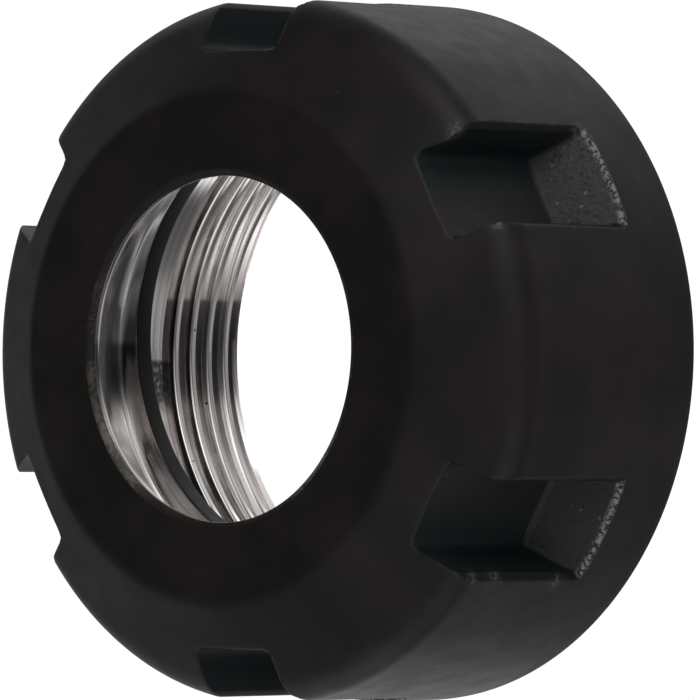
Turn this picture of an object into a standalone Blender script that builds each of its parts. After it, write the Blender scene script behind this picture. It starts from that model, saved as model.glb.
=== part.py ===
"""Clamping nut of a size 25 spring collet chuck, one turned and milled steel piece.

The nut stands on its threaded rear face. Its axis is +Z and the origin is the
centre of the rear face. All lengths are in metres.
"""

import math

import bmesh
import bpy
from mathutils import Matrix

# Sizes that the collet and its chuck set
collet_diameter = 0.0260
thread_ledge = 0.0030
thread_pitch = 0.0015
thread_depth_share = 0.5413
rim_wall = 0.0050
nut_height = 0.0200

# Outside of the turned blank
front_ring_width = 0.00492
front_cone_height = 0.0031
front_edge_round = 0.0018
shoulder_round = 0.0026
rear_chamfer = 0.0013
rear_edge_round = 0.0003

# Front bore and the 30 degree seat that presses on the collet
seat_clearance = 0.0001
seat_width = 0.00288
seat_half_angle = math.radians(30.0)
seat_end_round = 0.0003
mouth_round = 0.0005
mouth_land_length = 0.0006

# Eccentric lip that draws the collet out of its taper
lip_clearance = 0.00005
lip_eccentricity = 0.0009
lip_recess_length = 0.0015
lip_width = 0.0013
lip_edge_round = 0.00012

# Rear bore, left plain at the thread's minor diameter
countersink_clearance = 0.00068
bore_corner_round = 0.0003

# Six spanner slots, open to the front, their rims broken all round
slot_count = 6
slot_floor_width = 0.0058
slot_side_draft = math.radians(4.0)
slot_depth = 0.0033
slot_back_height = 0.00855
slot_back_slope_share = 0.80
slot_inner_round = 0.0006
slot_first_angle = math.radians(30.0)
rim_break_width = 0.00046
rim_break_slope_share = 1.38

# Working values of the model
cut_overrun = 0.0020
rim_cut_start = 0.0010
arc_step_angle = math.radians(30.0)
turning_steps = 96
slot_round_segments = 3
sharp_angle = math.radians(32.0)
match_tolerance = 0.00001
merge_distance = 0.000001

# Sizes that follow from the ones above
collet_radius = collet_diameter / 2
seat_end_radius = collet_radius + seat_clearance
mouth_radius = seat_end_radius - seat_width
front_face_radius = mouth_radius + front_ring_width
lip_radius = collet_radius + lip_clearance
thread_nominal_radius = collet_radius + thread_ledge
thread_minor_radius = thread_nominal_radius - thread_depth_share * thread_pitch
countersink_radius = thread_nominal_radius + countersink_clearance
countersink_depth = countersink_radius - thread_minor_radius
outer_radius = thread_nominal_radius + rim_wall
slot_floor_radius = outer_radius - slot_depth
slot_side_slope = math.tan(slot_side_draft)
rim_break_radius = outer_radius - rim_break_width - slot_floor_width**2 / outer_radius / 8
rim_break_rise = rim_break_radius - slot_floor_radius
rim_half_width = slot_floor_width / 2 + rim_break_rise * slot_side_slope
rim_break_height = slot_back_height - rim_break_rise * slot_back_slope_share
shoulder_height = nut_height - front_cone_height
seat_start_height = nut_height - mouth_land_length
seat_length = (seat_end_radius - mouth_radius) / math.tan(seat_half_angle)
seat_end_height = seat_start_height - seat_length
lip_front_height = seat_end_height - lip_recess_length
lip_rear_height = lip_front_height - lip_width


def clear_scene():
    """Remove every object of the open scene."""
    for scene_object in list(bpy.data.objects):
        bpy.data.objects.remove(scene_object, do_unlink=True)


def new_collection(name):
    """Make a collection under the scene's own."""
    collection = bpy.data.collections.new(name)
    bpy.context.scene.collection.children.link(collection)
    return collection


def steel_material(name, color, metallic, roughness):
    """Make one Principled material."""
    material = bpy.data.materials.new(name)
    material.use_nodes = True
    shader = material.node_tree.nodes["Principled BSDF"]
    shader.inputs["Base Color"].default_value = (*color, 1.0)
    shader.inputs["Metallic"].default_value = metallic
    shader.inputs["Roughness"].default_value = roughness
    material.diffuse_color = (*color, 1.0)
    return material


def corner_arc(before, corner, after, radius):
    """Points of the round that replaces one corner of a profile."""
    in_x = before[0] - corner[0]
    in_z = before[1] - corner[1]
    out_x = after[0] - corner[0]
    out_z = after[1] - corner[1]
    in_length = math.hypot(in_x, in_z)
    out_length = math.hypot(out_x, out_z)
    in_x = in_x / in_length
    in_z = in_z / in_length
    out_x = out_x / out_length
    out_z = out_z / out_length
    half = math.acos(max(-1.0, min(1.0, in_x * out_x + in_z * out_z))) / 2
    room = min(in_length, out_length) / 2
    reach = min(radius / math.tan(half), room)
    radius = reach * math.tan(half)
    turn = math.pi - 2 * half
    steps = max(2, math.ceil(turn / arc_step_angle))
    middle_x = in_x + out_x
    middle_z = in_z + out_z
    middle_length = math.hypot(middle_x, middle_z)
    centre_x = corner[0] + middle_x / middle_length * radius / math.sin(half)
    centre_z = corner[1] + middle_z / middle_length * radius / math.sin(half)
    start = math.atan2(
        corner[1] + in_z * reach - centre_z,
        corner[0] + in_x * reach - centre_x,
    )
    side = in_x * out_z - in_z * out_x
    sense = 1.0 if side < 0 else -1.0
    points = []
    for step in range(steps + 1):
        angle = start + sense * turn * step / steps
        x = centre_x + radius * math.cos(angle)
        z = centre_z + radius * math.sin(angle)
        points.append((x, z))
    return points


def rounded_profile(corners):
    """Round every corner of a closed profile by its own radius."""
    points = []
    for index, (x, z, radius) in enumerate(corners):
        before = corners[index - 1]
        after = corners[(index + 1) % len(corners)]
        if radius > 0:
            points.extend(corner_arc(before, (x, z), after, radius))
        else:
            points.append((x, z))
    return points


def nut_profile():
    """Half section of the blank, down the outside and back up the bore."""
    chamfer_inner_radius = outer_radius - rear_chamfer
    corners = [
        (mouth_radius, nut_height, mouth_round),
        (front_face_radius, nut_height, front_edge_round),
        (outer_radius, shoulder_height, shoulder_round),
        (outer_radius, rear_chamfer, rear_edge_round),
        (chamfer_inner_radius, 0.0, rear_edge_round),
        (countersink_radius, 0.0, 0.0),
        (thread_minor_radius, countersink_depth, 0.0),
        (thread_minor_radius, lip_rear_height, bore_corner_round),
        (lip_radius, lip_rear_height, lip_edge_round),
        (lip_radius, lip_front_height, lip_edge_round),
        (seat_end_radius, seat_end_height, seat_end_round),
        (mouth_radius, seat_start_height, 0.0),
    ]
    return rounded_profile(corners)


def turned_object(name, profile, collection, material):
    """Turn a closed profile round the Z axis."""
    mesh = bpy.data.meshes.new(name)
    outline = bmesh.new()
    ring = []
    for x, z in profile:
        ring.append(outline.verts.new((x, 0.0, z)))
    for index, vertex in enumerate(ring):
        outline.edges.new((vertex, ring[(index + 1) % len(ring)]))
    outline.to_mesh(mesh)
    outline.free()
    blank = bpy.data.objects.new(name, mesh)
    collection.objects.link(blank)
    screw = blank.modifiers.new("turned", "SCREW")
    screw.steps = turning_steps
    screw.render_steps = turning_steps
    screw.use_merge_vertices = True
    screw.merge_threshold = merge_distance
    bpy.context.view_layer.update()
    depsgraph = bpy.context.evaluated_depsgraph_get()
    turned = bpy.data.meshes.new_from_object(blank.evaluated_get(depsgraph))
    blank.modifiers.remove(screw)
    blank.data = turned
    bpy.data.meshes.remove(mesh)
    turned.name = name
    turned.materials.append(material)
    return blank


def shift_lip(mesh):
    """Move the lip's bore off centre, and lead the recess before it over to it."""
    limit = (lip_radius + thread_minor_radius) / 2
    for vertex in mesh.vertices:
        radius = math.hypot(vertex.co.x, vertex.co.y)
        if radius > limit:
            continue
        if vertex.co.z < lip_rear_height - match_tolerance:
            continue
        share = (seat_end_height - vertex.co.z) / lip_recess_length
        share = max(0.0, min(1.0, share))
        vertex.co.y += lip_eccentricity * share


def flared_cutter(name, angle, floor_radius, half_width, back_height, slopes, collection):
    """One cutter that widens outwards: flat floor, leaning sides and a back that runs out."""
    side_slope, back_slope = slopes
    far_radius = outer_radius + cut_overrun
    length = far_radius - floor_radius
    top_height = nut_height + cut_overrun
    cutter = bmesh.new()
    bmesh.ops.create_cube(cutter, size=2.0)
    for vertex in cutter.verts:
        is_far = vertex.co.x > 0
        is_top = vertex.co.z > 0
        width = half_width + (side_slope * length if is_far else 0.0)
        low = back_height - (back_slope * length if is_far else 0.0)
        vertex.co.x = far_radius if is_far else floor_radius
        vertex.co.y = width if vertex.co.y > 0 else -width
        vertex.co.z = top_height if is_top else low
    inner_edges = []
    for edge in cutter.edges:
        first, second = edge.verts
        on_floor = max(first.co.x, second.co.x) < floor_radius + match_tolerance
        on_back = max(first.co.z, second.co.z) < top_height - match_tolerance
        along_floor = on_floor and abs(first.co.z - second.co.z) > match_tolerance
        along_back = on_back and min(first.co.x, second.co.x) < far_radius - match_tolerance
        if along_floor or along_back:
            inner_edges.append(edge)
    bmesh.ops.bevel(
        cutter,
        geom=inner_edges,
        offset=slot_inner_round,
        offset_type="OFFSET",
        segments=slot_round_segments,
        profile=0.5,
        affect="EDGES",
    )
    bmesh.ops.recalc_face_normals(cutter, faces=cutter.faces)
    bmesh.ops.transform(cutter, matrix=Matrix.Rotation(angle, 4, "Z"), verts=cutter.verts)
    mesh = bpy.data.meshes.new(name)
    cutter.to_mesh(mesh)
    cutter.free()
    tool = bpy.data.objects.new(name, mesh)
    collection.objects.link(tool)
    tool.hide_render = True
    tool.display_type = "WIRE"
    return tool


def slot_cutter(name, angle, collection):
    """The slot itself: flat floor, sides with a little draft and a sloping back wall."""
    slopes = (slot_side_slope, slot_back_slope_share)
    half_width = slot_floor_width / 2
    return flared_cutter(
        name, angle, slot_floor_radius, half_width, slot_back_height, slopes, collection
    )


def rim_cutter(name, angle, collection):
    """The broken rim: steep flanks that leave the slot's sides and back near the outside."""
    slopes = (1.0, rim_break_slope_share)
    floor_radius = rim_break_radius - rim_cut_start
    half_width = rim_half_width - rim_cut_start
    back_height = rim_break_height + rim_cut_start * rim_break_slope_share
    return flared_cutter(name, angle, floor_radius, half_width, back_height, slopes, collection)


def build():
    """Model the nut."""
    clear_scene()
    parts = new_collection("collet_nut")
    cutters = new_collection("collet_nut_cutters")
    oxide = steel_material("black_oxide_steel", (0.022, 0.021, 0.019), 0.55, 0.42)
    nut = turned_object("nut_body", nut_profile(), parts, oxide)
    shift_lip(nut.data)
    for index in range(slot_count):
        angle = slot_first_angle + 2 * math.pi * index / slot_count
        slot_tool = slot_cutter(f"slot_cutter_{index + 1}", angle, cutters)
        rim_tool = rim_cutter(f"rim_cutter_{index + 1}", angle, cutters)
        for tool in (slot_tool, rim_tool):
            cut = nut.modifiers.new(tool.name.replace("_cutter", ""), "BOOLEAN")
            cut.operation = "DIFFERENCE"
            cut.solver = "EXACT"
            cut.object = tool
    nut.data.shade_smooth()
    nut.data.set_sharp_from_angle(angle=sharp_angle)


build()
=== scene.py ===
# %% [markdown]
# # A collet nut
#
# This nut screws on to the nose of a spring collet chuck. Its coned front bore pushes the
# collet home, and an eccentric lip inside pulls the collet out again when the nut comes off.
# On the real object it is one piece of steel: turned outside, with six slots for a spanner,
# black oxide all over, and then a bright seat and a bright thread.
#
# The lesson builds the nut's skin with numpy, as grids that meet at shared edges. It gives
# each grid its finish, and then sets up the floor, the light and the camera.

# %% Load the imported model
import math

import bmesh
import bpy
import numpy as np
from mathutils import Matrix, Vector


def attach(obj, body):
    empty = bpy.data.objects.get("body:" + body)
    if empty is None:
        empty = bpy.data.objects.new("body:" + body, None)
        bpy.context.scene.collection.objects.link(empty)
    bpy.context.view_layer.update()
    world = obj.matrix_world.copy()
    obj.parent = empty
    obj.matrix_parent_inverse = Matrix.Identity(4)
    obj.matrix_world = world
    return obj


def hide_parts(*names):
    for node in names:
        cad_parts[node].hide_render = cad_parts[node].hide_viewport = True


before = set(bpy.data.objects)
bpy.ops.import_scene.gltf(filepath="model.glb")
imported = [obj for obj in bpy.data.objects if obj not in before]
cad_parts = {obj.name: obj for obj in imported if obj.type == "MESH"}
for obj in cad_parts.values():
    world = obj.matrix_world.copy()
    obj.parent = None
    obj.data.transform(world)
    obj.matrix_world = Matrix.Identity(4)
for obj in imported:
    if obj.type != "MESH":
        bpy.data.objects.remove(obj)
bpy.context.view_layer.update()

# %% [markdown]
# ## The turned outside
#
# The sizes are those of the solid model, in metres. The axis of the nut is +Z and the rear
# face lies at zero height. The outside is a cylinder with a rounded shoulder, a shallow cone,
# a flat front ring and a chamfer at the rear. A profile turned about the axis would give it,
# but the slots have to be cut into it too, so the sizes go into one formula for both.

# %% Sizes of the outside
MM = 0.001
outer_radius = 21.0 * MM
nut_height = 20.0 * MM
face_radius = 15.14 * MM
shoulder_height = 16.9 * MM
front_edge_round = 1.8 * MM
shoulder_round = 2.6 * MM
rear_chamfer = 1.3 * MM
rear_edge_round = 0.3 * MM
print("nut:", outer_radius * 2, "m across,", nut_height, "m high")

# %% [markdown]
# ## Rounded edges from distances
#
# A turned and milled blank has no knife edges: where two faces meet, the edge is a small arc.
# One way to get that is a bevel on a finished mesh. Here each face is written as a distance
# instead, and `round_join` joins two distances with a true arc. The outside of the nut is then
# one function, and every grid point can be pulled on to it.


# %% Join two faces with an arc
def round_join(first, second, radius, facing=0.0):
    """Larger of two distances with an arc on the edge; facing is the normals' dot product.

    Between the two normals it is sqrt(u^2 + v^2 - 2 u v facing) / sine - r, with u = a + r
    and v = b + r, and elsewhere max(a, b).
    """
    u = first + radius
    v = second + radius
    between = (u > facing * v) & (v > facing * u)
    arc = np.sqrt(np.maximum(u * u + v * v - 2 * u * v * facing, 0.0) / (1 - facing**2))
    return np.where(between, arc - radius, np.maximum(first, second))


print("a 1 mm round clears a square corner by", float(round_join(0.0, 0.0, MM)), "m")

# %% The blank as one distance
cone_run = outer_radius - face_radius
cone_rise = nut_height - shoulder_height
cone_slant = math.hypot(cone_run, cone_rise)
chamfer_facing = math.sqrt(0.5)


def blank_distance(points):
    """Distance to the turned blank: cylinder, cone, front face, rear chamfer and rear face."""
    radial = np.hypot(points[..., 0], points[..., 1]) - outer_radius
    height = points[..., 2]
    cone = (radial * cone_rise + (height - shoulder_height) * cone_run) / cone_slant
    chamfer = (radial - (height - rear_chamfer)) / math.sqrt(2)
    joined = round_join(radial, cone, shoulder_round, cone_rise / cone_slant)
    joined = round_join(joined, height - nut_height, front_edge_round, cone_run / cone_slant)
    joined = round_join(joined, chamfer, rear_edge_round, chamfer_facing)
    return round_join(joined, -height, rear_edge_round, chamfer_facing)


print("cone: back by", round(math.degrees(math.atan2(cone_rise, cone_run)), 1), "degrees")

# %% [markdown]
# ## The spanner slots
#
# A spanner with teeth grips the nut in six slots, open to the front. Each has a flat floor,
# two sides with a little draft, a back wall that slopes to the rear, and a broken edge along
# its rim. Six cutters could mill them out of a mesh. Here they are distances again: the middle
# of the first slot is 30 degrees from +X, and one sector of 60 degrees holds one slot, so one
# set of distances, in the frame of the nearest slot, does for all six.

# %% Sizes of a slot
slot_count = 6
sector = 2 * math.pi / slot_count
first_slot_angle = math.radians(30.0)
slot_floor = 17.7 * MM
slot_half_width = 2.9 * MM
slot_draft = math.tan(math.radians(4.0))
slot_back = 8.55 * MM
slot_back_slope = 0.80
slot_inner_round = 0.6 * MM
break_radius = 20.34 * MM
break_half_width = slot_half_width + (break_radius - slot_floor) * slot_draft
print("slots:", slot_count, "with a floor", slot_half_width * 2, "m wide")


# %% A slot as one distance
def slot_coordinates(points):
    """Out from the axis, across the slot and height, in the frame of the nearest slot."""
    angle = np.arctan2(points[..., 1], points[..., 0]) - first_slot_angle
    angle = (angle + sector / 2) % sector - sector / 2
    radius = np.hypot(points[..., 0], points[..., 1])
    return radius * np.cos(angle), radius * np.sin(angle), points[..., 2], radius


def slot_planes(out, across, height, radius):
    """Distances to a slot's floor, leaning side, broken side rim and turned back wall."""
    past = out - slot_floor
    side = (np.abs(across) - slot_half_width - slot_draft * past) / math.hypot(1.0, slot_draft)
    broken = (np.abs(across) - break_half_width - (out - break_radius)) / math.sqrt(2)
    rear = slot_back - slot_back_slope * (radius - slot_floor) - height
    return -past, side, broken, rear / math.hypot(1.0, slot_back_slope)


def slot_distance(points):
    """Distance to the nearest spanner slot: floor, sides and back wall, rounded inside."""
    floor, side, broken, rear = slot_planes(*slot_coordinates(points))
    facing = slot_back_slope / math.hypot(1.0, slot_back_slope)
    joined = round_join(floor, rear, slot_inner_round, facing)
    sides = np.minimum(side, broken)
    return round_join(joined, sides, slot_inner_round, slot_draft / math.hypot(1.0, slot_draft))


slot_middle = np.array([math.cos(first_slot_angle), math.sin(first_slot_angle), 0.0]) * 20 * MM
slot_middle[2] = 14 * MM
print("distance in the middle of a slot:", float(slot_distance(slot_middle)), "m")

# %% [markdown]
# ## Pulling points on to the skin
#
# The skin is the blank with the slots taken out, and the rim between them gets a small round
# of its own. A point near the skin is brought on to it as a marble finds the floor: it moves
# against the slope of the distance, by the distance that it still has, a few times over.

# %% The skin's distance and slope
rim_round = 0.09 * MM
least_slope = 0.2


def skin_distance(points):
    """The blank without its slots, with a rounded rim where a slot breaks the surface."""
    return round_join(blank_distance(points), -slot_distance(points), rim_round)


def slope_of(distance, points, step=0.002 * MM):
    """Gradient of a distance by central differences along the three axes."""
    parts = []
    for axis in np.eye(3) * step:
        parts.append((distance(points + axis) - distance(points - axis)) / (2 * step))
    return np.stack(parts, -1)


def pull_on(distance, points, rounds=14):
    """Each point moves against the gradient by the distance it still has, a few times."""
    for _ in range(rounds):
        slope = slope_of(distance, points)
        size = np.maximum((slope**2).sum(-1), least_slope)
        points = points - slope * (distance(points) / size)[..., None]
    return points


print("distance on the rear face:", float(skin_distance(np.array([18 * MM, 0, 0]))), "m")

# %% [markdown]
# ## Columns of the outer skin
#
# The skin is a grid. Its rows follow the turned outline from the rear face up the side, over
# the cone and the front ring into the mouth. Its columns go round the axis. Where a row meets
# a slot, the columns follow the slot's floor and walls, close together at the corners, so the
# rounded rims get real geometry. A boolean cut would give the same form, but with long thin
# faces that shade badly.
#
# Half a slot is described from its middle outwards, as shares of each stretch: the floor, the
# inner corner, the side, the broken rim, and then a few steps on the blank beside it.

# %% Shares of the columns
floor_shares = np.linspace(-0.72, 0.72, 7)
corner_shares = np.array([0.84, 0.91, 0.965])
wall_shares = np.array([0.10, 0.22, 0.45, 0.70, 0.90, 0.99])
break_shares = np.array([0.04, 0.35, 0.70, 0.93])
rim_steps = np.array([0.03, 0.10, 0.22, 0.42]) * MM
rim_half_width = 3.52 * MM
wall_foot = 3.0 * MM
foot_inset = 0.02 * MM
break_width = 0.43 * MM
arc_columns = 9
arc_start, arc_spare = 0.75, 0.5
side_columns = len(corner_shares) + len(wall_shares) + len(break_shares) + len(rim_steps)
sector_columns = len(floor_shares) + 2 * side_columns + 2 * arc_columns
column_count = sector_columns * slot_count
print("columns round the nut:", column_count)


# %% Half a slot's outline
def pocket_floor_out(across, pocket_floor):
    """How far out the pocket begins: its flat floor, or the turned back wall's circle."""
    return np.maximum(slot_floor, np.sqrt(pocket_floor**2 - across**2))


def half_outline(radius, pocket_floor):
    """Half a slot's outline for each row: floor, side, broken rim and out on to the blank."""
    radius = radius[:, None]
    rim_out = np.sqrt(radius**2 - rim_half_width**2)
    low = np.minimum(pocket_floor_out(wall_foot, pocket_floor)[:, None], rim_out)
    turn = np.clip(break_radius + 0 * low, low, rim_out)
    corner_across = slot_half_width * corner_shares[None, :] + 0 * radius
    corner_out = np.minimum(pocket_floor_out(corner_across, pocket_floor[:, None]), rim_out)
    wall_out = low + (turn - low) * wall_shares[None, :]
    wall_across = slot_half_width + (wall_out - slot_floor) * slot_draft
    wall_across = wall_across + foot_inset * (wall_shares[None, :] - 1)
    break_out = turn + (rim_out - turn) * break_shares[None, :]
    break_across = break_half_width + (break_out - break_radius)
    least_across = break_half_width + break_width * break_shares[None, :]
    break_across = np.maximum(break_across, least_across)
    rim_across = rim_half_width + rim_steps[None, :] + 0 * radius
    rim_edge_out = np.sqrt(radius**2 - rim_across**2)
    across = np.concatenate([corner_across, wall_across, break_across, rim_across], axis=1)
    out = np.concatenate([corner_out, wall_out, break_out, rim_edge_out], axis=1)
    return across, out


sample_across, _ = half_outline(np.array([outer_radius]), np.array([slot_floor]))
print("half a slot reaches", float(sample_across.max()), "m from its middle")


# %% One whole sector
def sector_rows(radius, pocket_floor):
    """One sector's outline for every row, from one border to the other."""
    side_across, side_out = half_outline(radius, pocket_floor)
    across = slot_half_width * floor_shares[None, :] + 0 * radius[:, None]
    out = pocket_floor_out(across, pocket_floor[:, None])
    out = np.minimum(out, np.sqrt(radius[:, None] ** 2 - across**2))
    start = np.arctan2(side_across[:, -1], side_out[:, -1])
    share = (np.arange(arc_columns) + arc_start) / (arc_columns + arc_spare)
    angle = start[:, None] + (sector / 2 - start[:, None]) * share[None, :]
    arc_across = radius[:, None] * np.sin(angle)
    arc_out = radius[:, None] * np.cos(angle)
    half_across = np.concatenate([side_across, arc_across], axis=1)
    half_out = np.concatenate([side_out, arc_out], axis=1)
    all_across = np.concatenate([-half_across[:, ::-1], across, half_across], axis=1)
    all_out = np.concatenate([half_out[:, ::-1], out, half_out], axis=1)
    return all_across, all_out


even_angles = (np.arange(sector_columns) - (sector_columns - 1) / 2) * sector / sector_columns
sector_starts = first_slot_angle + sector * np.arange(slot_count)
ring_angles = (sector_starts[:, None] + even_angles[None, :]).ravel()
print("even step between columns:", math.degrees(ring_angles[1] - ring_angles[0]), "degrees")

# %% [markdown]
# ## Rows of the outer skin
#
# A lathe tool would follow one outline from the rear to the mouth. The rows do the same. They
# lie close where the form bends or where a slot begins, and far apart on the plain wall. At
# the two ends the columns are spread evenly, so that they meet those of the bore one to one.


# %% Steps between stations
def stretch(*stations):
    """Evenly spaced values between stations given as (value, steps to the next)."""
    values = []
    for (here, steps), (there, _) in zip(stations, stations[1:]):
        values.append(np.linspace(here, there, steps, endpoint=False))
    values.append(np.array([stations[-1][0]]))
    return np.concatenate(values)


print("from 0 to 1 in 2 steps and on to 4 in 3:", stretch((0.0, 2), (1.0, 3), (4.0, 0)))

# %% Radius and height of each row
countersink_radius = 16.68 * MM
mouth_radius = 10.22 * MM
mouth_round = 0.5 * MM
shoulder_middle = (outer_radius - shoulder_round, 15.334 * MM)
shoulder_turn = 62.12  # degrees, from the side wall to the cone


def outline_rows():
    """Radius and height of each row, up the side and in over the front."""
    flat = stretch((countersink_radius, 3), (19.2 * MM, 3), (outer_radius - rear_chamfer, 0))
    ramp = stretch((0.0, 6), (1.0, 0))[1:]
    side = stretch(
        (rear_chamfer, 2), (1.8 * MM, 4), (5.1 * MM, 4), (5.78 * MM, 10), (6.04 * MM, 5),
        (6.5 * MM, 10), (7.9 * MM, 8), (8.9 * MM, 10), (14.6 * MM, 4), (15.3 * MM, 0),
    )[1:]
    turn = np.radians(stretch((0.0, 14), (shoulder_turn, 0))[1:])
    cone = stretch((0.235, 8), (0.50, 8), (0.66, 6), (0.90, 0))[1:]
    ring = stretch((15.55 * MM, 8), (14.6 * MM, 6), (mouth_radius + mouth_round, 0))[1:]
    pieces = [
        (flat, 0 * flat),
        (outer_radius - rear_chamfer * (1 - ramp), rear_chamfer * ramp),
        (outer_radius + 0 * side, side),
        (
            shoulder_middle[0] + shoulder_round * np.cos(turn),
            shoulder_middle[1] + shoulder_round * np.sin(turn),
        ),
        (
            outer_radius + (face_radius - outer_radius) * cone,
            shoulder_height + (nut_height - shoulder_height) * cone,
        ),
        (ring, nut_height + 0 * ring),
    ]
    radius, height = zip(*pieces)
    return np.concatenate(radius), np.concatenate(height)


row_radius, row_height = outline_rows()
print("rows of the outer skin:", len(row_radius))

# %% The skin's points
even_below, even_below_fade = 5.8 * MM, 1.6 * MM
even_above, even_above_fade = 18.9 * MM, 0.9 * MM
ring_kept_inside = 14.2 * MM

pocket_floor = slot_floor + np.maximum(slot_back - row_height, 0.0) / slot_back_slope
across, out = sector_rows(row_radius, pocket_floor)
column_angle = np.arctan2(across, out)
evenness = np.clip((even_below - row_height) / even_below_fade, 0, 1)
evenness = np.maximum(evenness, np.clip((row_height - even_above) / even_above_fade, 0, 1))
reach = np.hypot(across, out)
reach = reach + (row_radius[:, None] - reach) * evenness[:, None]
column_angle = column_angle + (even_angles[None, :] - column_angle) * evenness[:, None]
turned = sector_starts[None, :, None] + column_angle[:, None, :]
wide = np.repeat(reach[:, None, :], slot_count, axis=1)
skin_points = np.stack(
    [
        (wide * np.cos(turned)).reshape(len(row_radius), -1),
        (wide * np.sin(turned)).reshape(len(row_radius), -1),
        np.repeat(row_height[:, None], column_count, axis=1),
    ],
    axis=-1,
)
on_front_ring = (row_height >= nut_height) & (row_radius < ring_kept_inside)
fixed_rows = (row_height <= 0) | on_front_ring
pulled = pull_on(skin_distance, skin_points)
skin_points = np.where(fixed_rows[:, None, None], skin_points, pulled)
left_over = np.abs(skin_distance(skin_points[~fixed_rows])).max()
print("outer skin:", skin_points.shape[:2], "points, largest distance left", float(left_over))

# %% [markdown]
# ## Marks for the finish
#
# Wear and roughness differ from place to place: the rims of the slots are rubbed bright and
# the back walls still show a rough skin. Shade is painted in too: the far side inside each
# slot gets a darker tone, and the lower back walls keep less of their grey. Painting masks
# by hand is one way. The distance functions already know where each place is, so every point
# gets its numbers from them, and the materials read those as attributes.


# %% Soft borders
def soft_step(low, high, value):
    """0 below low, 1 above high, 3 t^2 - 2 t^3 between them."""
    share = np.clip((value - low) / (high - low), 0.0, 1.0)
    return share * share * (3 - 2 * share)


def across_sign(points):
    """+1 or -1, so that across points away from the x axis in every slot."""
    nudged = points + np.array([0.0, 0.001 * MM, 0.0])
    ahead = slot_coordinates(nudged)[1] - slot_coordinates(points)[1]
    return np.sign(ahead) * np.sign(points[..., 1])


print("a third of the way up a soft border:", float(soft_step(0, 3, np.array(1.0))))

# %% Where the marks begin and end
rim_line = 0.09 * MM
rim_faint = 0.12
rim_fade = (19.9 * MM, 20.6 * MM)
inside_fade = (0.02 * MM, 0.10 * MM)
back_fade = (-0.10 * MM, 0.05 * MM)
band_fade = (0.20 * MM, 0.34 * MM)
bevel_fade = (-0.10 * MM, -0.02 * MM)
bevel_hides_rim = 0.85
painted_shade_fade = (-0.9 * MM, 1.6 * MM)
painted_shade_everywhere = 2.0 * MM
slot_near_axis = 5.0 * MM
lower_wall_shaded_share = 0.40
print("the worn band is up to", band_fade[1], "m wide")


# %% Marks of rim, back wall and slot
def slot_marks(points):
    """Rim line, back wall, worn band, painted slot shade and bevel of the slots, each from 0 to
    1.
    """
    out, across, height, radius = slot_coordinates(points)
    floor, side, broken, rear = slot_planes(out, across, height, radius)
    void = slot_distance(points)
    blank = blank_distance(points)
    rim = np.exp(-(np.maximum(np.abs(blank), np.abs(void)) / rim_line) ** 2)
    rim *= rim_faint + (1 - rim_faint) * soft_step(*rim_fade, radius)
    inside = 1 - soft_step(*inside_fade, np.abs(void))
    ahead = rear - np.maximum(np.minimum(side, broken), floor)
    back = soft_step(*back_fade, ahead) * inside
    band = back * (1 - soft_step(*band_fade, -blank))
    bevel = soft_step(*bevel_fade, side - broken) * inside * (1 - back)
    rim *= 1 - bevel_hides_rim * bevel
    # Painted shade: a darker tone on the far side inside each slot, and all over near the y axis.
    far_side = across_sign(points) * across
    far_side = np.where(np.abs(points[..., 0]) < slot_near_axis, painted_shade_everywhere, far_side)
    painted_slot_shade = inside * soft_step(*painted_shade_fade, far_side) * (1 - bevel)
    # Painted shade: the back walls below the x axis keep only part of this mark, so come out
    # darker.
    back *= np.where(points[..., 1] > 0, 1.0, lower_wall_shaded_share)
    return {"rim": rim, "back_wall": back, "painted_slot_shade": painted_slot_shade, "bevel": bevel, "worn_band": band}


skin_marks = slot_marks(skin_points)
print("marks:", {name: round(float(value.mean()), 4) for name, value in skin_marks.items()})

# %% [markdown]
# ## Knocks
#
# A used nut has been dropped and the spanner has slipped. A few knocks have bruised the oxide
# at the corners of the slots, and one of them pushed up a lump. Sculpting them is possible,
# but a short table of places and reaches is easier to change.

# %% Bruised places
# Place in millimetres, and how far the mark reaches.
knocks = [
    ((15.80, 12.75, 16.95), 0.55),
    ((19.05, 7.35, 17.00), 0.38),
    ((16.10, -13.15, 15.50), 0.40),
    ((16.15, -13.20, 13.60), 0.45),
    ((16.17, 13.05, 6.40), 0.50),
    ((16.10, -13.45, 7.80), 0.40),
]


def bump_at(points, place, reach):
    """A round hill: exp(-(distance / reach)^2)."""
    return np.exp(-((np.linalg.norm(points - place, axis=-1) / reach) ** 2))


skin_marks["knocked"] = np.zeros(skin_points.shape[:-1])
for place_mm, reach_mm in knocks:
    knocked_here = bump_at(skin_points, np.array(place_mm) * MM, reach_mm * MM)
    skin_marks["knocked"] = np.maximum(skin_marks["knocked"], knocked_here)
print("knocks:", len(knocks))

# %% The lump that leans over a slot's edge
lump_place = np.array([15.30, 12.30, 17.60]) * MM
lump_lean = np.array([0.55, -0.83, 0.0]) * 0.26 * MM
lump_reach = 0.75 * MM
lump_share = bump_at(skin_points, lump_place, lump_reach)
skin_points = skin_points + lump_share[..., None] * lump_lean
print("lump:", float(np.linalg.norm(lump_lean) * lump_share.max()), "m high")

# %% [markdown]
# ## Mouth, seat and lip
#
# Behind the front ring the bore is turned: a rounded mouth, the seat at 30 degrees, a fine
# relief behind it, and a recess that ends at the lip. The lip's bore is turned off centre, so
# it stands proud on one side only. All of it is a profile of radius and height carried round
# the axis, with the centre of each ring moved by its own share of the offset.

# %% Sizes of the front bore
cone_start_height = 19.4 * MM
cone_angle = math.radians(30.0)
cone_end_radius = 13.1 * MM
cone_end_height = cone_start_height - (cone_end_radius - mouth_radius) / math.tan(cone_angle)
lip_radius = 13.05 * MM
lip_offset = 0.9 * MM
lip_front = cone_end_height - 1.5 * MM
lip_rear = lip_front - 1.3 * MM
lip_edge_round = 0.12 * MM
minor_radius = 15.188 * MM
bore_corner_round = 0.3 * MM
print("seat ends at height", cone_end_height, "m, lip from", lip_front, "to", lip_rear)


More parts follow.
